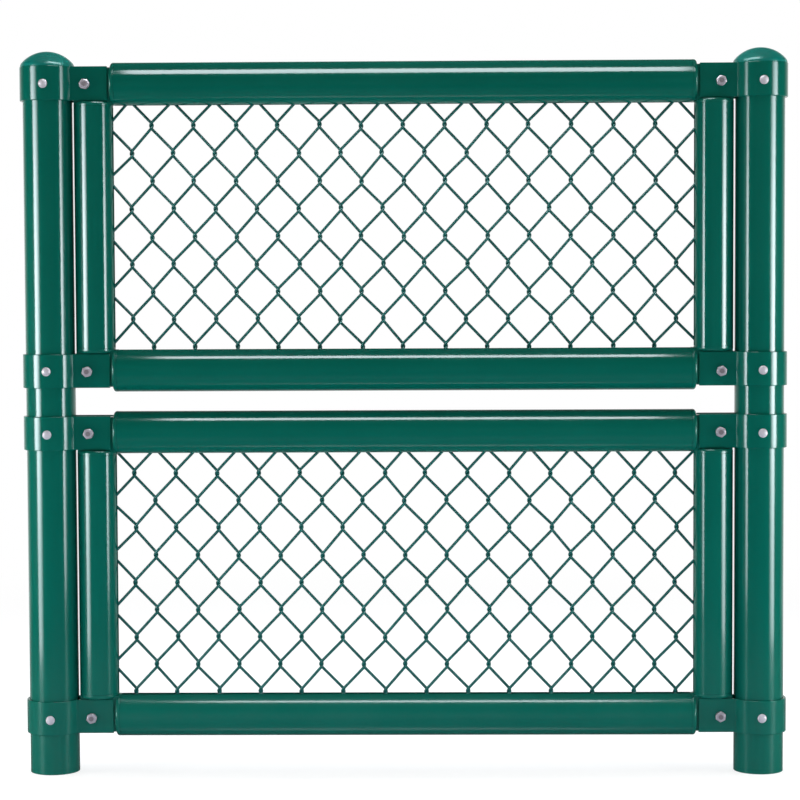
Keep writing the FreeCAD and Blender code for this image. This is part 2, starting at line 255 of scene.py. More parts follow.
def picket_points(column, weave, knot_shift):
    """Centre line of one wire: points along a flattened spiral between two neighbouring columns of knots.

    A leg is straight. At a knot the wire turns through half an ellipse in plan, from front to back or from
    back to front, while it climbs by the knot's rise. The ellipse's apex stands past the knot's middle by
    the hook.
    """
    sizes, rows = weave.sizes, weave.rows
    at_left = (column + rows + weave.parity) % 2 == 0
    knot_column = np.where(at_left, column, column + 1)
    side = np.where(at_left, -1.0, 1.0)
    shift = knot_shift[rows - rows[0], knot_column - weave.columns[0]]
    knot_x = knot_column * sizes.diamond_width / 2 + shift[:, 0]
    knot_z = sizes.first_knot + rows * sizes.diamond_height / 2 + shift[:, 1]
    sweep = np.linspace(-np.pi / 2, np.pi / 2, sizes.bend_steps)
    bend_x = knot_x[:, None] + side[:, None] * (sizes.hook - sizes.bend_width * (1 - np.cos(sweep)))
    bend_y = side[:, None] * sizes.depth / 2 * np.sin(sweep)
    bend_z = knot_z[:, None] + sizes.knot_rise * sweep / np.pi
    return np.stack((bend_x, bend_y, bend_z), axis=-1).reshape(-1, 3)


def wire_rings(path, radius, sides):
    """Round section carried along a path that always climbs, each ring square to the path's direction."""
    along = np.gradient(path, axis=0)
    along /= np.linalg.norm(along, axis=1, keepdims=True)
    across = np.cross(along, (1.0, 0.0, 0.0))
    across /= np.linalg.norm(across, axis=1, keepdims=True)
    beside = np.cross(along, across)
    angle = np.linspace(0, 2 * np.pi, sides, endpoint=False)[None, :, None]
    ring = np.cos(angle) * across[:, None, :] + np.sin(angle) * beside[:, None, :]
    return path[:, None, :] + radius * ring


def cut_to_height(path, low, high):
    """The part of a climbing path between two heights, with end points at exactly those heights."""
    height = path[:, 2]
    inside = path[(height > low) & (height < high)]
    start, end = ([np.interp(level, height, path[:, axis]) for axis in range(3)] for level in (low, high))
    return np.concatenate(([start], inside, [end]))


# Hoops and caps

class Hoop:
    """Place of one hoop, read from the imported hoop's box, with the sizes of its strap."""

    def __init__(self, sizes, node):
        low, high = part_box(node)
        band_low, band_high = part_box("left_bottom_hoop")
        self.sizes = sizes
        self.radius = (high.y - low.y) / 2
        self.at_left = node.startswith("left")
        self.axis_x = low.x + self.radius if self.at_left else high.x - self.radius
        self.reach = high.x - self.axis_x if self.at_left else self.axis_x - low.x
        self.height = band_high.z - band_low.z
        self.middle = low.z + self.height / 2
        self.band_top = low.z + self.height
        self.top = high.z

    def place(self, rings, level):
        """Turn rings about the post to face the panel, and lift them to their level."""
        turned = rings if self.at_left else rings * (-1, -1, 1)
        return turned + (self.axis_x, 0, level)


def strap_path(hoop):
    """Middle line of a strap in plan, from the post's axis with the ears along +X, and its outward normals.

    Straight along one ear, an outward bend, the long way round the post, the other bend and the other ear.
    """
    sizes = hoop.sizes
    ear_level = sizes.ear_width / 2 - sizes.wall / 2
    band = hoop.radius - sizes.wall / 2
    bend = sizes.bend_radius + sizes.wall / 2
    centre_y = ear_level + bend
    centre_x = math.sqrt((band + bend) ** 2 - centre_y ** 2)
    meet = math.atan2(centre_y, centre_x)
    ear_x = np.linspace(hoop.reach, centre_x, EAR_STEPS)
    ear = np.stack((ear_x, np.full_like(ear_x, ear_level)), axis=-1)
    ear_normal = np.broadcast_to((0.0, 1.0), ear.shape)
    turn = np.linspace(1.5 * np.pi, np.pi + meet, BEND_STEPS)[1:]
    bend_normal = -np.stack((np.cos(turn), np.sin(turn)), axis=-1)
    bend_line = (centre_x, centre_y) - bend * bend_normal
    half = np.linspace(meet, np.pi, BAND_STEPS)[1:]
    round_normal = np.stack((np.cos(half), np.sin(half)), axis=-1)
    line = np.concatenate((ear, bend_line, band * round_normal))
    normal = np.concatenate((ear_normal, bend_normal, round_normal))
    flip = np.array((1.0, -1.0))
    return np.concatenate((line, line[-2::-1] * flip)), np.concatenate((normal, normal[-2::-1] * flip))


def with_ends(rows, start, end):
    """Rows whose first and last one are taken out and replaced by the rows of the drawn-in ends."""
    return np.concatenate((start, rows[1:-1], end))


def strap_rings(hoop):
    """Rounded oblong section, wall by height, carried along the strap's line and drawn in at its ends.

    At an end the section shrinks by the edge's radius along a quarter circle, so that all edges are rounded.
    """
    line, normal = strap_path(hoop)
    edge = hoop.sizes.edge_radius
    fan = np.linspace(0, np.pi / 2, EDGE_STEPS)
    corner = np.concatenate([fan + quarter * np.pi / 2 for quarter in range(4)])
    core_across = np.repeat((1, -1, -1, 1), EDGE_STEPS) * (hoop.sizes.wall / 2 - edge)
    core_up = np.repeat((1, 1, -1, -1), EDGE_STEPS) * (hoop.height / 2 - edge)
    draw = np.linspace(END_TURN, 0, EDGE_STEPS)
    inset = with_ends(np.full(len(line), edge), edge * np.cos(draw), edge * np.cos(draw[::-1]))
    back = edge * (np.sin(draw) - 1)
    forward = with_ends(np.zeros(len(line)), back, back[::-1])
    line = with_ends(line, np.repeat(line[:1], EDGE_STEPS, axis=0), np.repeat(line[-1:], EDGE_STEPS, axis=0))
    normal = with_ends(normal, np.repeat(normal[:1], EDGE_STEPS, axis=0),
                       np.repeat(normal[-1:], EDGE_STEPS, axis=0))
    line = line + np.stack((forward, np.zeros_like(forward)), axis=-1)
    across = core_across + inset[:, None] * np.cos(corner)
    up = core_up + inset[:, None] * np.sin(corner)
    plan = line[:, None, :] + across[:, :, None] * normal[:, None, :]
    return np.concatenate((plan, up[:, :, None]), axis=-1)


def dome_profile(hoop):
    """Section of a cap's dome, from under its rim outwards and up: radii, and heights over the band.

    A skirt closes the groove over the band's rounded edge. The shoulder is an arc that starts upright, and it
    runs smoothly into the crown, a wide arc centred on the axis.
    """
    sizes = hoop.sizes
    rise = hoop.top - hoop.band_top
    shoulder = sizes.dome_shoulder
    skirt = 2 * sizes.edge_radius
    inner = hoop.radius - sizes.wall / 2
    rim = hoop.radius - DOME_LEDGE
    offset = rim - shoulder
    crown = (offset ** 2 + rise ** 2 - shoulder ** 2) / (2 * (rise - shoulder))
    meet = math.asin(offset / (crown - shoulder))
    rising = np.linspace(0, np.pi / 2 - meet, SHOULDER_STEPS)
    over = np.linspace(meet, 0, CROWN_STEPS)[1:-1]
    radius = ((inner, inner, rim), offset + shoulder * np.cos(rising), crown * np.sin(over))
    height = ((DOME_LIFT, -skirt, -skirt), shoulder * np.sin(rising), rise - crown + crown * np.cos(over))
    return np.concatenate(radius), np.concatenate(height)


# Fasteners

def hexagon(segments):
    """Factor by which a hexagon of unit inner radius departs from the unit circle, by angle."""
    angle = np.linspace(0, 2 * np.pi, segments, endpoint=False)
    return 1 / np.cos((angle + np.pi / 6) % (np.pi / 3) - np.pi / 6)


def hex_rings(across_flats, height):
    """Hexagonal prism whose corners are turned off at its outer end: the lesser of a hexagon and a cone."""
    inner = across_flats / 2
    corner = inner / math.cos(math.pi / 6)
    face = inner * NUT_FACE
    cone_height = (corner - face) * NUT_CONE
    level = np.concatenate(((0, 0), height - cone_height * np.linspace(1, 0, 5), (height,)))
    cone = face + (height - level) / cone_height * (corner - face)
    outline = np.minimum(inner * hexagon(NUT_ROUND), cone[:, None])
    outline[[0, -1]] *= CLOSING_SHARE
    return turned_rings(np.ones(len(level)), level, NUT_ROUND, outline)


def washer_rings(outer, thickness):
    """Flat round washer with softened edges, turned from the six points of its section."""
    edge = thickness * 0.3
    hub = outer * CLOSING_SHARE
    radius = np.array((hub, outer - edge, outer, outer, outer - edge, hub))
    height = np.array((0, 0, edge, thickness - edge, thickness, thickness))
    return turned_rings(radius, height, WASHER_ROUND)


def stud_rings(radius, length):
    """Threaded end of a bolt: ridges of the thread's pitch along the length and a coned tip."""
    pitch = radius * 0.3
    depth = radius * 0.09
    turns = int(length / pitch)
    level = np.linspace(0, turns * pitch, turns * 4 + 1)
    ridge = radius - depth * (0.5 - 0.5 * np.cos(2 * np.pi * level / pitch))
    tip = (radius * 0.8, radius * 0.2)
    return turned_rings(np.concatenate((ridge, tip)), np.concatenate((level, (length, length))), THREAD_ROUND)


def button_rings(radius, height):
    """Low domed screw head: a short upright rim under an arc that flattens towards the top."""
    over = np.linspace(0, 1.5, 9)
    rim = height * 0.2
    foot = (radius * 0.2, radius * 0.97)
    across = np.concatenate((foot, radius * np.cos(over)))
    level = np.concatenate(((0, 0), rim + (height - rim) * np.sin(over)))
    return turned_rings(across, level, SCREW_ROUND)


# Nodes

def new_group(name, inputs, outputs):
    """Empty shader node group with named sockets; returns the group and its two end nodes."""
    group = bpy.data.node_groups.new(name, "ShaderNodeTree")
    for socket, kind, value in inputs:
        made = group.interface.new_socket(socket, in_out="INPUT", socket_type=kind)
        made.default_value = value
    for socket, kind in outputs:
        group.interface.new_socket(socket, in_out="OUTPUT", socket_type=kind)
    return group, group.nodes.new("NodeGroupInput"), group.nodes.new("NodeGroupOutput")


def shared_group(name, build):
    """Node group that is built at its first use."""
    return bpy.data.node_groups.get(name) or build(name)


def add_node(tree, kind, links=(), **attributes):
    """Node with its attributes, and inputs by name or number, linked where a value is an output socket."""
    node = tree.nodes.new(kind)
    for name, value in attributes.items():
        setattr(node, name, value)
    for socket, value in links:
        if isinstance(value, bpy.types.NodeSocket):
            tree.links.new(value, node.inputs[socket])
        else:
            node.inputs[socket].default_value = value
    return node


def calc(tree, operation, *values):
    """Result of one step of arithmetic on numbers or sockets."""
    return add_node(tree, "ShaderNodeMath", enumerate(values), operation=operation).outputs[0]


def ramp(tree, value, low, high, start=0.0, end=1.0, easing="SMOOTHSTEP"):
    """Value carried from one range to another, and held past its ends."""
    links = (("Value", value), ("From Min", low), ("From Max", high), ("To Min", start), ("To Max", end))
    return add_node(tree, "ShaderNodeMapRange", links, interpolation_type=easing).outputs["Result"]


def mix_colours(tree, share, first, second):
    """Colour that goes from the first to the second with the share."""
    links = ((0, share), (6, first), (7, second))
    return add_node(tree, "ShaderNodeMix", links, data_type="RGBA").outputs[2]


def mix_values(tree, share, first, second):
    """Number that goes from the first to the second with the share."""
    links = ((0, share), (2, first), (3, second))
    return add_node(tree, "ShaderNodeMix", links, data_type="FLOAT").outputs[0]


def mix_shaders(tree, share, first, second):
    """Shader that goes from the first to the second with the share."""
    return add_node(tree, "ShaderNodeMixShader", ((0, share), (1, first), (2, second))).outputs[0]


def noise(tree, place, scale, detail):
    """Soft noise between nought and one."""
    links = (("Vector", place), ("Scale", scale), ("Detail", detail))
    return add_node(tree, "ShaderNodeTexNoise", links).outputs["Fac"]


def part_of(tree, vector, axis):
    """One coordinate of a vector."""
    return add_node(tree, "ShaderNodeSeparateXYZ", (("Vector", vector),)).outputs[axis]


# Finishes

def coat_flow_group(name):
    """Uneven flow of a baked coating: slow changes of tone, finer mottling, and orange peel as a height."""
    group, given, result = new_group(
        name,
        (("Colour", "NodeSocketColor", (0.5, 0.5, 0.5, 1)), ("Tone change", "NodeSocketFloat", 0.1),
         ("Roughness", "NodeSocketFloat", 0.25), ("Peel size", "NodeSocketFloat", 0.004)),
        (("Colour", "NodeSocketColor"), ("Roughness", "NodeSocketFloat"), ("Height", "NodeSocketFloat")))
    place = add_node(group, "ShaderNodeTexCoord").outputs["Object"]
    slow = noise(group, place, 7.0, 3.0)
    fine = noise(group, place, 160.0, 2.0)
    mottle = calc(group, "MULTIPLY_ADD", fine, 0.25, calc(group, "MULTIPLY", slow, 0.75))
    centred = calc(group, "SUBTRACT", mottle, 0.5)
    gain = calc(group, "MULTIPLY_ADD", centred, given.outputs["Tone change"], 1.0)
    links = ((0, given.outputs["Colour"]), ("Scale", gain))
    tone = add_node(group, "ShaderNodeVectorMath", links, operation="SCALE").outputs[0]
    uneven = calc(group, "MULTIPLY_ADD", slow, 0.1, -0.05)
    rough = calc(group, "ADD", uneven, given.outputs["Roughness"])
    peel = noise(group, place, calc(group, "DIVIDE", 1.0, given.outputs["Peel size"]), 1.0)
    for socket, value in (("Colour", tone), ("Roughness", rough), ("Height", peel)):
        group.links.new(value, result.inputs[socket])
    return group


def settled_dust_group(name):
    """Fine pale dust, broken up by noise: on faces that look up, and thicker towards the foot."""
    group, given, result = new_group(
        name,
        (("Colour", "NodeSocketColor", (0.5, 0.5, 0.5, 1)), ("Dust", "NodeSocketColor", (0.4, 0.45, 0.44, 1)),
         ("Amount", "NodeSocketFloat", 0.1), ("Foot height", "NodeSocketFloat", 0.25)),
        (("Colour", "NodeSocketColor"), ("Mask", "NodeSocketFloat")))
    place = add_node(group, "ShaderNodeTexCoord").outputs["Object"]
    foot = ramp(group, part_of(group, place, "Z"), 0.0, given.outputs["Foot height"], 1.0, 0.0)
    facing = add_node(group, "ShaderNodeNewGeometry").outputs["Normal"]
    lying = ramp(group, part_of(group, facing, "Z"), 0.5, 1.0, 0.0, 0.25)
    broken = calc(group, "MULTIPLY", calc(group, "MAXIMUM", foot, lying), noise(group, place, 38.0, 5.0))
    mask = calc(group, "MULTIPLY", broken, given.outputs["Amount"])
    mixed = mix_colours(group, mask, given.outputs["Colour"], given.outputs["Dust"])
    group.links.new(mixed, result.inputs["Colour"])
    group.links.new(mask, result.inputs["Mask"])
    return group


def new_material(name):
    """Empty material; returns it with its node tree and its shader."""
    material = bpy.data.materials.new(name)
    material.use_nodes = True
    return material, material.node_tree, material.node_tree.nodes["Principled BSDF"]


def coat_material(name, colour, roughness, peel, ior=COAT_IOR, dome=None):
    """Glossy green coating: the coat's flow under a thin film of dust, with orange peel in the normal.

    A dome is given as the height of its foot and its colour; above that height the coat is duller too.
    """
    material, tree, shader = new_material(name)
    peel_size, peel_height = peel
    flow = add_node(tree, "ShaderNodeGroup", node_tree=shared_group("coat flow", coat_flow_group))
    for socket, value in (("Colour", (*colour, 1)), ("Tone change", TONE_CHANGE), ("Roughness", roughness),
                          ("Peel size", peel_size)):
        flow.inputs[socket].default_value = value
    film = add_node(tree, "ShaderNodeGroup", node_tree=shared_group("settled dust", settled_dust_group))
    film.inputs["Amount"].default_value = DUST_AMOUNT
    tree.links.new(flow.outputs["Colour"], film.inputs["Colour"])
    rough = calc(tree, "MULTIPLY_ADD", film.outputs["Mask"], DUST_DULLING, flow.outputs["Roughness"])
    if dome:
        foot, dome_colour = dome
        place = add_node(tree, "ShaderNodeTexCoord").outputs["Object"]
        above = calc(tree, "GREATER_THAN", part_of(tree, place, "Z"), foot)
        tone = mix_colours(tree, above, (*colour, 1), (*dome_colour, 1))
        tree.links.new(tone, flow.inputs["Colour"])
        rough = calc(tree, "MULTIPLY_ADD", above, DOME_DULLING, rough)
    links = (("Height", flow.outputs["Height"]), ("Distance", peel_height), ("Strength", 1.0))
    bump = add_node(tree, "ShaderNodeBump", links)
    tree.links.new(film.outputs["Colour"], shader.inputs["Base Color"])
    tree.links.new(rough, shader.inputs["Roughness"])
    tree.links.new(bump.outputs["Normal"], shader.inputs["Normal"])
    shader.inputs["IOR"].default_value = ior
    return material


def zinc_material(name, colour, metal):
    """Zinc plate or bare steel, with slow cloudiness in its tone and roughness."""
    material, tree, shader = new_material(name)
    place = add_node(tree, "ShaderNodeTexCoord").outputs["Object"]
    cloud = noise(tree, place, 220.0, 3.0)
    dark = [0.72 * part for part in colour]
    tone = mix_colours(tree, cloud, (*dark, 1), (*colour, 1))
    rough = ramp(tree, cloud, 0.0, 1.0, 0.34, 0.48, "LINEAR")
    tree.links.new(tone, shader.inputs["Base Color"])
    tree.links.new(rough, shader.inputs["Roughness"])
    shader.inputs["Metallic"].default_value = metal
    return material


def material_of(name, build, *values, **named):
    """Material that is built at its first use."""
    return bpy.data.materials.get(name) or build(name, *values, **named)


def coat(piece, material):
    """Give a piece one material all over."""
    piece.data.materials.clear()
    piece.data.materials.append(material)


# Settings that a user would change

class FenceWeaveSettings(bpy.types.PropertyGroup):
    """Sizes of the woven wire"""
    wire_diameter: bpy.props.FloatProperty(
        name="Wire diameter", description="Coated wire of the mesh", default=0.0044, unit="LENGTH")
    diamond_width: bpy.props.FloatProperty(
        name="Diamond width", description="Between neighbouring knots in a row", default=0.0636,
        unit="LENGTH")
    diamond_height: bpy.props.FloatProperty(
        name="Diamond height", description="Between neighbouring knots in a column", default=0.084,
        unit="LENGTH")
    depth: bpy.props.FloatProperty(
        name="Weave depth", description="Between the centre lines of front and back legs", default=0.008,
        unit="LENGTH")
    knot_rise: bpy.props.FloatProperty(
        name="Knot rise", description="Height that a wire climbs as it turns round a knot", default=0.0108,
        unit="LENGTH")
    hook: bpy.props.FloatProperty(
        name="Hook", description="How far a wire reaches past the middle of a knot", default=0.0015,
        unit="LENGTH")
    bend_width: bpy.props.FloatProperty(
        name="Bend width", description="How far a wire moves sideways as it turns into a knot",
        default=0.0027, unit="LENGTH")
    first_knot: bpy.props.FloatProperty(
        name="First knot", description="From the lower rail's axis up to the first row of knots",
        default=0.035, unit="LENGTH")
    unevenness: bpy.props.FloatProperty(
        name="Unevenness", description="How far a knot strays from its even place", default=0.0007,
        unit="LENGTH")
    sides: bpy.props.IntProperty(name="Wire sides", description="Sides of a wire's section", default=8, min=5)
    bend_steps: bpy.props.IntProperty(name="Bend steps", description="Points round a knot", default=9, min=3)


class FenceFittingSettings(bpy.types.PropertyGroup):
    """Sizes of hoops, caps and fasteners"""
    wall: bpy.props.FloatProperty(
        name="Strap wall", description="Thickness of a hoop's strap", default=0.004, unit="LENGTH")
    ear_width: bpy.props.FloatProperty(
        name="Ear width", description="Over the outer faces of the two ears", default=0.040, unit="LENGTH")
    bend_radius: bpy.props.FloatProperty(
        name="Ear bend", description="Hollow radius between band and ear", default=0.0022, unit="LENGTH")
    edge_radius: bpy.props.FloatProperty(
        name="Strap edge", description="Rounding of the strap's edges", default=0.0011, unit="LENGTH")
    dome_shoulder: bpy.props.FloatProperty(
        name="Dome shoulder", description="Rounding between a cap's band and its crown", default=0.010,
        unit="LENGTH")
    bolt_offset: bpy.props.FloatProperty(
        name="Bolt offset", description="From a post's axis to the bolt through the ears", default=0.0595,
        unit="LENGTH")
    bolt_diameter: bpy.props.FloatProperty(
        name="Bolt diameter", description="Thread of the ear bolts", default=0.0072, unit="LENGTH")
    nut_size: bpy.props.FloatProperty(
        name="Nut size", description="Across the flats of nut and bolt head", default=0.0142, unit="LENGTH")
    washer_diameter: bpy.props.FloatProperty(
        name="Washer diameter", description="Outside of a washer", default=0.0150, unit="LENGTH")
    bolt_drop: bpy.props.FloatProperty(
        name="Bolt drop", description="How far bolts and screws sit below the middle of their hoop",
        default=0.0013, unit="LENGTH")
    fastener_stray: bpy.props.FloatProperty(
        name="Fastener stray", description="How far bolts and screws stray from their even places",
        default=0.0009, unit="LENGTH")
    screw_diameter: bpy.props.FloatProperty(
        name="Screw head", description="Head of the screw through hoop and post", default=0.0136,
        unit="LENGTH")


class FenceFinishSettings(bpy.types.PropertyGroup):
    """Colours and gloss"""
    green: bpy.props.FloatVectorProperty(
        name="Green coat", description="Coating of posts, frames and fittings", subtype="COLOR", size=3,
        default=(0.0006, 0.092, 0.064), min=0, max=1)
    dome_green: bpy.props.FloatVectorProperty(
        name="Dome", description="Lighter green of the caps' domes", subtype="COLOR", size=3,
        default=(0.001, 0.155, 0.125), min=0, max=1)
    wire_green: bpy.props.FloatVectorProperty(
        name="Wire coat", description="Coating of the woven wire", subtype="COLOR", size=3,
        default=(0.006, 0.085, 0.072), min=0, max=1)
    zinc: bpy.props.FloatVectorProperty(
        name="Zinc", description="Plating of the screws", subtype="COLOR", size=3,
        default=(0.50, 0.47, 0.50), min=0, max=1)
    nut_zinc: bpy.props.FloatVectorProperty(
        name="Nut zinc", description="Dulled plating of nuts, bolt heads and washers", subtype="COLOR",
        size=3, default=(0.40, 0.37, 0.40), min=0, max=1)
    thread: bpy.props.FloatVectorProperty(
        name="Thread", description="Bare steel of the bolts' threaded ends", subtype="COLOR", size=3,
        default=(0.21, 0.185, 0.195), min=0, max=1)
    roughness: bpy.props.FloatProperty(
        name="Coat roughness", description="Lower is glossier", subtype="FACTOR", default=0.13, min=0, max=1)


class FenceStageSettings(bpy.types.PropertyGroup):
    """Camera and light of the studio"""
    camera_place: bpy.props.FloatVectorProperty(
        name="Camera", description="Where the camera stands", subtype="TRANSLATION", size=3,
        default=(0.5878, -3.4359, 0.7380))
    yaw: bpy.props.FloatProperty(
        name="Yaw", description="Turn of the camera to the right", subtype="ANGLE",
        default=math.radians(-0.906))
    pitch: bpy.props.FloatProperty(
        name="Pitch", description="How far the camera looks down", subtype="ANGLE",
        default=math.radians(2.813))
    roll: bpy.props.FloatProperty(
        name="Roll", description="Tilt of the camera about its view", subtype="ANGLE",
        default=math.radians(-0.263))
    lens: bpy.props.FloatProperty(
        name="Lens", description="Focal length on a 36 mm wide sensor", subtype="DISTANCE_CAMERA",
        default=101.49)
    side_light: bpy.props.FloatProperty(
        name="Side strips", description="Power of each upright strip light", unit="POWER", default=5.0)
    side_fill: bpy.props.FloatProperty(
        name="Side fill", description="Power of the soft light on each side", unit="POWER", default=25.0)
    low_fill: bpy.props.FloatProperty(
        name="Low fill", description="Power of the soft light along the floor", unit="POWER", default=2.6)
    low_tint: bpy.props.FloatVectorProperty(
        name="Low tint", description="Colour of the soft light along the floor", subtype="COLOR", size=3,
        default=(0.8, 0.94, 1.22), min=0, max=2)
    strip_tint: bpy.props.FloatVectorProperty(
        name="Strip tint", description="Colour of the strip lights", subtype="COLOR", size=3,
        default=(0.94, 0.99, 1.06), min=0, max=2)
    top_light: bpy.props.FloatProperty(
        name="Top strip", description="Power of the strip light above the fence", unit="POWER", default=17.0)
    top_fill: bpy.props.FloatProperty(
        name="Top fill", description="Power of the soft light above the fence", unit="POWER", default=20.0)
    rear_fill: bpy.props.FloatProperty(
        name="Rear fill", description="Power of the soft light above and behind the fence", unit="POWER",
        default=30.0)
    fill_light: bpy.props.FloatProperty(
        name="Fill", description="Power of the large soft fill lights", unit="POWER", default=30.0)


class FencePanelSettings(bpy.types.PropertyGroup):
    """All settings of the fence panel"""
    weave: bpy.props.PointerProperty(type=FenceWeaveSettings)
    fittings: bpy.props.PointerProperty(type=FenceFittingSettings)
    finish: bpy.props.PointerProperty(type=FenceFinishSettings)
    stage: bpy.props.PointerProperty(type=FenceStageSettings)


def settings():
    """Settings of the fence panel in this scene."""
    return bpy.context.scene.fence_panel


# Operators

class FENCE_OT_coat_tubes(bpy.types.Operator):
    """Give posts, rails, stiles and corners their glossy green coat"""
    bl_idname = "fence.coat_tubes"
    bl_label = "Coat the tubes"

    def execute(self, context):
        green, gloss = settings().finish.green, settings().finish.roughness
        post_coat = material_of("post_coat", coat_material, green, gloss, TUBE_PEEL)
        frame_coat = material_of("frame_coat", coat_material, green, gloss, TUBE_PEEL)
        casting_coat = material_of("casting_coat", coat_material, green, gloss + CASTING_DULLING,
                                   CASTING_PEEL)
        for side in SIDES:
            coat(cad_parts[f"{side}_post"], post_coat)
        for panel in PANELS:
            for tube in TUBES:
                coat(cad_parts[f"{panel}_panel_{tube}"], frame_coat)
            for corner in CORNERS:
                coat(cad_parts[f"{panel}_panel_{corner}_corner"], casting_coat)
        return {"FINISHED"}


class FENCE_OT_press_hoops(bpy.types.Operator):
    """Press the hoops that clamp the panels to the posts, with their bends and rounded edges"""
    bl_idname = "fence.press_hoops"
    bl_label = "Press the hoops"

    def execute(self, context):
        sizes = settings().fittings
        finish = settings().finish
        green, gloss = finish.green, finish.roughness
        fitting_coat = material_of("fitting_coat", coat_material, green, gloss, PRESSED_PEEL)
        for side in SIDES:
            for kind in HOOPS:
                node = f"{side}_{kind}_hoop"
                hoop = Hoop(sizes, node)
                skins = [closed_skin(hoop.place(strap_rings(hoop), hoop.middle))]
                hoop_coat = fitting_coat
                if kind == "cap":
                    dome = turned_rings(*dome_profile(hoop), DOME_ROUND)
                    skins.append(closed_skin(hoop.place(dome, hoop.band_top)))
                    hoop_coat = material_of("cap_coat", coat_material, green, gloss, PRESSED_PEEL,
                                            dome=(hoop.band_top, finish.dome_green))
                piece = make_piece(f"{node}_pressed", skins)
                even_flats(piece)
                coat(piece, hoop_coat)
                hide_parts(node)
        return {"FINISHED"}


class FENCE_OT_weave_mesh(bpy.types.Operator):
    """Weave the chain link mesh of both panels from round coated wires that hook into each other"""
    bl_idname = "fence.weave_mesh"
    bl_label = "Weave the mesh"

    def execute(self, context):
        sizes = settings().weave
        finish = settings().finish
        wire_coat = material_of("wire_coat", coat_material, finish.wire_green,
                                finish.roughness + WIRE_DULLING, WIRE_PEEL, ior=WIRE_IOR)
        radius = sizes.wire_diameter / 2
        for parity, panel in enumerate(PANELS):
            low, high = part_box(f"{panel}_mesh")
            rail_low, rail_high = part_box(f"{panel}_panel_bottom_rail")
            rail_axis = rail_low.z + (rail_high.y - rail_low.y) / 2
            centre = (low.x + high.x) / 2
            weave = Weave(sizes, parity, low.z - rail_axis, high.z - rail_axis, (high.x - low.x) / 2)
            chance = np.random.default_rng(WEAVE_SEED + parity)
            shift = chance.normal(0, sizes.unevenness, (len(weave.rows), len(weave.columns) + 2, 2))
            skins = []
            for column in weave.columns:
                path = picket_points(column, weave, shift) + (centre, 0, rail_axis)
                path[:, 0] = np.clip(path[:, 0], low.x + radius, high.x - radius)
                path = cut_to_height(path, low.z, high.z)
                skins.append(closed_skin(wire_rings(path, radius, sizes.sides)))
            piece = make_piece(f"{panel}_mesh_wires", skins, math.radians(60))
            coat(piece, wire_coat)
            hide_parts(f"{panel}_mesh")
        return {"FINISHED"}


class FENCE_OT_fit_fasteners(bpy.types.Operator):
    """Fit the bolts, nuts and washers through the ears and the screws through hoops and posts"""
    bl_idname = "fence.fit_fasteners"
    bl_label = "Fit the fasteners"

    def execute(self, context):
        sizes = settings().fittings
        finish = settings().finish
        nuts, ends, screws = [], [], []
        chance = np.random.default_rng(FASTENER_SEED)
        for side in SIDES:
            for kind in HOOPS:
                hoop = Hoop(sizes, f"{side}_{kind}_hoop")
                across, up, screw_up = chance.normal(0, sizes.fastener_stray, 3)
                spins = chance.uniform(0, 2 * np.pi, 2)
                offset = sizes.bolt_offset if hoop.at_left else -sizes.bolt_offset
                level = hoop.middle - sizes.bolt_drop
                self.fit_bolt(sizes, hoop.axis_x + offset + across, level + up, spins, nuts, ends)
                head = button_rings(sizes.screw_diameter / 2, sizes.screw_diameter * SCREW_HEIGHT)
                place = (hoop.axis_x, -hoop.radius, level + screw_up)
                screws.append(closed_skin(placed(head, place, (0, -1, 0))))
        for name, skins, plating, colour, metal in (
                ("ear_nuts", nuts, "dull_zinc", finish.nut_zinc, NUT_METAL),
                ("bolt_ends", ends, "dark_thread", finish.thread, THREAD_METAL),
                ("post_screws", screws, "bright_zinc", finish.zinc, SCREW_METAL)):
            piece = make_piece(name, skins, sharp_angle=math.radians(25))
            coat(piece, material_of(plating, zinc_material, colour, metal))
        return {"FINISHED"}

    @staticmethod
    def fit_bolt(sizes, x, level, spins, nuts, ends):
        """Washer and nut on the front ear with the bolt's end, washer and bolt head on the rear ear."""
        ear = sizes.ear_width / 2
        washer = sizes.washer_diameter * WASHER_THICKNESS
        nut_height = sizes.bolt_diameter * NUT_HEIGHT
        for sign, height, spin in zip((-1, 1), (nut_height, nut_height * HEAD_HEIGHT), spins):
            towards = (0, sign, 0)
            ring = washer_rings(sizes.washer_diameter / 2, washer)
            nuts.append(closed_skin(placed(ring, (x, sign * ear, level), towards)))
            nut = hex_rings(sizes.nut_size, height)
            nuts.append(closed_skin(placed(nut, (x, sign * (ear + washer), level), towards, spin)))
        end = stud_rings(sizes.bolt_diameter / 2, nut_height + sizes.bolt_diameter * BOLT_PROUD)
        ends.append(closed_skin(placed(end, (x, -ear - washer, level), (0, -1, 0))))


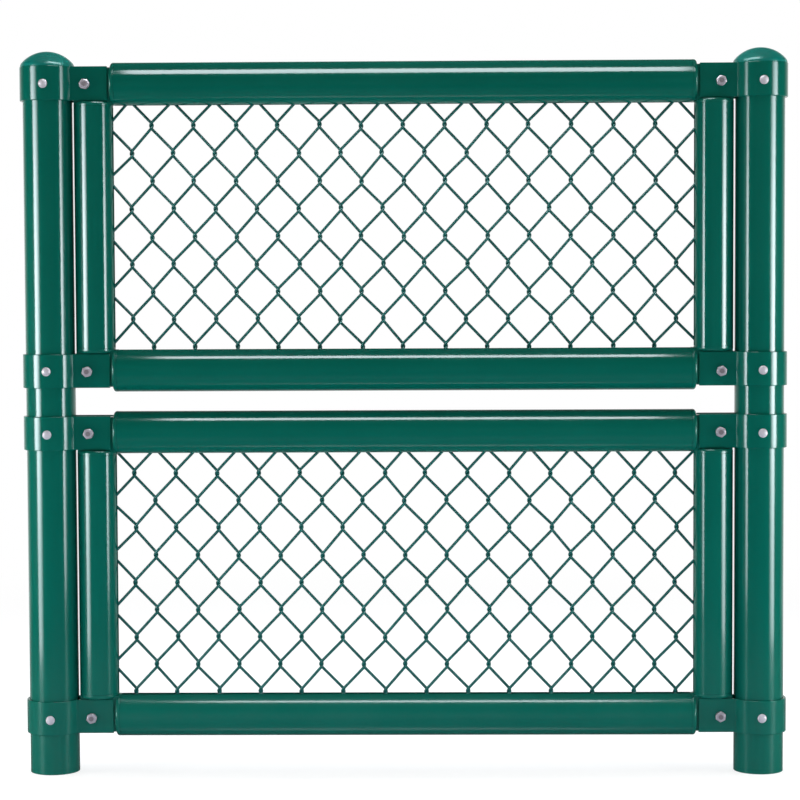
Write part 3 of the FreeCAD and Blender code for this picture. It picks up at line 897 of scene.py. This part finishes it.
class FENCE_OT_set_stage(bpy.types.Operator):
    """Set up the pale floor, the strip lights, the soft fill and the camera"""
    bl_idname = "fence.set_stage"
    bl_label = "Set the stage"

    def execute(self, context):
        stage = settings().stage
        scene = context.scene
        scene.view_settings.view_transform = "Standard"
        low, high = cad_box
        centre = (low + high) / 2
        self.lay_floor(scene, centre)
        self.light_world(scene)
        self.set_strips(stage, low, high, centre)
        self.set_fills(stage, centre)
        self.set_camera(scene, stage)
        return {"FINISHED"}

    def set_strips(self, stage, low, high, centre):
        """Strip lights that only reflections show: two in front, two behind and one above, with flags."""
        left_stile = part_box("upper_panel_left_stile")[1].x
        right_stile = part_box("upper_panel_right_stile")[0].x
        past_left = (low.x - PAST_FLAG, low.x)
        past_right = (high.x, high.x + PAST_FLAG)
        at_left_stile = (left_stile + FLAG_GAP, left_stile + STILE_FLAG)
        at_right_stile = (right_stile - STILE_FLAG, right_stile - FLAG_GAP)
        from_left_stile = (left_stile, high.x + ACROSS_FLAG)
        up_to_right_stile = (low.x - ACROSS_FLAG, right_stile)
        for name, (x, aim_x), y, bands in (
                ("left_front", LEFT_STRIP, -STRIP_DEPTH, (past_left, at_right_stile)),
                ("right_front", RIGHT_STRIP, -STRIP_DEPTH, (past_right, at_left_stile)),
                ("left_rear", LEFT_STRIP, STRIP_DEPTH, (past_left, from_left_stile)),
                ("right_rear", RIGHT_STRIP, STRIP_DEPTH, (past_right, up_to_right_stile))):
            strip = self.add_light(f"{name}_strip", (x, y, STRIP_HEIGHT), (aim_x, 0, STRIP_HEIGHT),
                                   STRIP_SIZE, stage.side_light, stage.strip_tint)
            strip.visible_diffuse = False
            strip.data.spread = STRIP_SPREAD
            self.flag(strip.data, "X", bands, self.dim_ends(strip.data))
        strip = self.add_light("top_strip", (centre.x, TOP_STRIP_DEPTH, TOP_STRIP_HEIGHT),
                               (centre.x, 0, TOP_AIM), TOP_STRIP_SIZE, stage.top_light, stage.strip_tint)
        strip.visible_diffuse = False
        bands = []
        for rail, reach in (("upper_panel_top_rail", SKY_FLAG), ("upper_panel_bottom_rail", RAIL_FLAG),
                            ("lower_panel_bottom_rail", RAIL_FLAG)):
            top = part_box(rail)[1].z
            bands.append((top + FLAG_GAP, top + reach))
        self.flag(strip.data, "Z", bands)

    def set_fills(self, stage, centre):
        """Soft lights that reflections don't show: name, place, aim, size, power and colour of each."""
        for name, place, aim, size, power, tint in (
                ("left_fill", (-1.4, -0.35, 0.5), (centre.x, 0, 0.4), (0.9, 0.9), stage.side_fill, WHITE),
                ("right_fill", (2.5, -0.35, 0.5), (centre.x, 0, 0.4), (0.9, 0.9), stage.side_fill, WHITE),
                ("top_fill", (centre.x, -0.3, 2.4), (centre.x, 0, TOP_AIM), (2.4, 1.4), stage.top_fill,
                 WHITE),
                ("rear_fill", (centre.x, 1.0, 2.1), (centre.x, 0, 1.1), (2.4, 1.4), stage.rear_fill,
                 stage.strip_tint),
                ("low_fill", (centre.x, -0.7, 0.06), (centre.x, 0, 0.06), (1.6, 0.1), stage.low_fill,
                 stage.low_tint),
                ("front_fill", (centre.x, -4.0, 1.0), centre, (4.0, 2.0), stage.fill_light, WHITE),
                ("back_fill", (centre.x, 4.0, 1.0), centre, (4.0, 2.0), stage.fill_light, WHITE)):
            self.add_light(name, place, aim, size, power, tint).visible_glossy = False

    @staticmethod
    def add_light(name, place, aim, size, power, tint):
        """Oblong light that the camera doesn't see."""
        lamp = bpy.data.lights.new(name, "AREA")
        lamp.shape = "RECTANGLE"
        lamp.size, lamp.size_y = size
        lamp.energy = power
        lamp.color = tint
        lit = bpy.data.objects.new(name, lamp)
        lit.location = place
        lit.rotation_mode = "QUATERNION"
        lit.rotation_quaternion = (Vector(aim) - Vector(place)).to_track_quat("-Z", "Y")
        bpy.context.scene.collection.objects.link(lit)
        lit.visible_camera = False
        return lit

    @staticmethod
    def dim_ends(lamp):
        """Level of a strip light that is full in its middle and falls off towards its foot and its head."""
        lamp.use_nodes = True
        tree = lamp.node_tree
        along = add_node(tree, "ShaderNodeNewGeometry").outputs["Parametric"]
        height = part_of(tree, along, "Y")
        foot = ramp(tree, height, 0.05, 0.38, 0.62, 1.0)
        head = ramp(tree, height, 0.52, 0.95, 1.0, 0.45)
        return calc(tree, "MULTIPLY", foot, head)

    @staticmethod
    def flag(lamp, axis, bands, level=1.0):
        """Keep a strip light off bands of the fence's middle plane, so that it doesn't edge the tubes' backs.

        A ray crosses that plane at the lamp's place, less the lamp's depth times the ray's slope.
        """
        lamp.use_nodes = True
        tree = lamp.node_tree
        lit = add_node(tree, "ShaderNodeNewGeometry")
        place = add_node(tree, "ShaderNodeSeparateXYZ", (("Vector", lit.outputs["Position"]),))
        way = add_node(tree, "ShaderNodeSeparateXYZ", (("Vector", lit.outputs["Incoming"]),))
        slope = calc(tree, "DIVIDE", way.outputs[axis], way.outputs["Y"])
        moved = calc(tree, "MULTIPLY", place.outputs["Y"], slope)
        crossing = calc(tree, "SUBTRACT", place.outputs[axis], moved)
        for low, high in bands:
            inside = calc(tree, "COMPARE", crossing, (low + high) / 2, (high - low) / 2)
            level = calc(tree, "MULTIPLY", level, calc(tree, "SUBTRACT", 1.0, inside))
        tree.links.new(level, tree.nodes["Emission"].inputs["Strength"])

    @staticmethod
    def lay_floor(scene, centre):
        """Round pale floor: a disc that takes shadows near the fence and is plain white further out."""
        angle = np.linspace(0, 2 * np.pi, FLOOR_ROUND, endpoint=False)
        edge = np.stack((centre.x + FLOOR_REACH * np.cos(angle), FLOOR_REACH * np.sin(angle),
                         np.zeros_like(angle)), axis=-1)
        mesh = bpy.data.meshes.new("floor")
        mesh.from_pydata(edge, [], [list(range(len(edge)))])
        floor = bpy.data.objects.new("floor", mesh)
        scene.collection.objects.link(floor)
        material, tree, shader = new_material("pale_floor")
        tree.nodes.remove(shader)
        path = add_node(tree, "ShaderNodeLightPath").outputs
        mirrored = calc(tree, "MAXIMUM", path["Is Glossy Ray"], path["Is Transmission Ray"])
        seen = calc(tree, "MAXIMUM", path["Is Camera Ray"], mirrored)
        spot = add_node(tree, "ShaderNodeTexCoord").outputs["Object"]
        links = ((0, spot), (1, (centre.x, 0, 0)))
        away = add_node(tree, "ShaderNodeVectorMath", links, operation="DISTANCE").outputs["Value"]
        far = ramp(tree, away, FLOOR_NEAR, FLOOR_REACH)
        behind = ramp(tree, part_of(tree, spot, "Y"), 0.2, 1.6)
        pale = calc(tree, "MAXIMUM", behind, path["Is Camera Ray"])
        level = calc(tree, "MULTIPLY", pale, FLOOR_GLOW)
        tone = mix_colours(tree, pale, (0.1, 0.1, 0.1, 1), (0.42, 0.42, 0.42, 1))
        shine = calc(tree, "MULTIPLY", path["Is Glossy Ray"], FLOOR_SHEEN)
        white = ("Color", (*WHITE, 1))
        plain = add_node(tree, "ShaderNodeEmission", (white, ("Strength", pale))).outputs[0]
        glow = add_node(tree, "ShaderNodeEmission", (white, ("Strength", level))).outputs[0]
        matt = add_node(tree, "ShaderNodeBsdfDiffuse", (("Color", tone),)).outputs[0]
        sheen = add_node(tree, "ShaderNodeBsdfGlossy", (white, ("Roughness", 0.25))).outputs[0]
        unseen = add_node(tree, "ShaderNodeBsdfDiffuse", (("Color", (0.76, 0.80, 0.88, 1)),)).outputs[0]
        near = add_node(tree, "ShaderNodeAddShader", ((0, glow), (1, matt))).outputs[0]
        near = mix_shaders(tree, shine, near, sheen)
        shown = mix_shaders(tree, far, near, plain)
        surface = mix_shaders(tree, seen, unseen, shown)
        tree.links.new(surface, tree.nodes["Material Output"].inputs["Surface"])
        coat(floor, material)

    @staticmethod
    def light_world(scene):
        """World: white to the camera, and in reflections a white sweep behind the fence in a dim room."""
        world = bpy.data.worlds.new("studio")
        scene.world = world
        world.use_nodes = True
        tree = world.node_tree
        path = add_node(tree, "ShaderNodeLightPath").outputs
        way = add_node(tree, "ShaderNodeTexCoord").outputs["Generated"]
        behind = ramp(tree, part_of(tree, way, "Y"), 0.2, 0.9)
        under = ramp(tree, part_of(tree, way, "Z"), 0.2, 0.55, 1.0, 0.0)
        wall = calc(tree, "MULTIPLY", behind, under)
        sweep = ramp(tree, wall, 0.0, 1.0, ROOM_LEVEL, 1.0, "LINEAR")
        mirrored = calc(tree, "MAXIMUM", path["Is Glossy Ray"], path["Is Transmission Ray"])
        ambient = mix_values(tree, mirrored, AMBIENT_LEVEL, sweep)
        level = mix_values(tree, path["Is Camera Ray"], ambient, 1.0)
        back = tree.nodes["Background"]
        back.inputs["Color"].default_value = (*WHITE, 1)
        tree.links.new(level, back.inputs["Strength"])

    @staticmethod
    def set_camera(scene, stage):
        """Camera turned by yaw, pitch and roll from a level view along +Y."""
        camera = bpy.data.cameras.new("camera")
        camera.lens = stage.lens
        camera.sensor_width = 36
        camera.clip_end = 200
        view = bpy.data.objects.new("camera", camera)
        scene.collection.objects.link(view)
        forward = Vector((math.sin(stage.yaw) * math.cos(stage.pitch),
                          math.cos(stage.yaw) * math.cos(stage.pitch), -math.sin(stage.pitch)))
        right = forward.cross(Vector((0, 0, 1))).normalized()
        up = right.cross(forward)
        across, rise = math.cos(stage.roll), math.sin(stage.roll)
        axes = Matrix((right * across + up * rise, up * across - right * rise, -forward)).transposed()
        view.matrix_world = Matrix.Translation(Vector(stage.camera_place)) @ axes.to_4x4()
        scene.camera = view


STEPS = (FENCE_OT_coat_tubes, FENCE_OT_press_hoops, FENCE_OT_weave_mesh, FENCE_OT_fit_fasteners,
         FENCE_OT_set_stage)


class FENCE_PT_panel(bpy.types.Panel):
    """Steps that dress the fence panel, in order"""
    bl_idname = "FENCE_PT_panel"
    bl_label = "Chain link fence panel"
    bl_space_type = "VIEW_3D"
    bl_region_type = "UI"
    bl_category = "Fence"

    def draw(self, context):
        for step in STEPS:
            self.layout.operator(step.bl_idname)


CLASSES = (FenceWeaveSettings, FenceFittingSettings, FenceFinishSettings, FenceStageSettings,
           FencePanelSettings, *STEPS, FENCE_PT_panel)


def register():
    for made in CLASSES:
        bpy.utils.register_class(made)
    bpy.types.Scene.fence_panel = bpy.props.PointerProperty(type=FencePanelSettings)


def unregister():
    del bpy.types.Scene.fence_panel
    for made in reversed(CLASSES):
        bpy.utils.unregister_class(made)


def main():
    register()
    bpy.ops.fence.coat_tubes()
    bpy.ops.fence.press_hoops()
    bpy.ops.fence.weave_mesh()
    bpy.ops.fence.fit_fasteners()
    bpy.ops.fence.set_stage()


if __name__ == "__main__":
    main()
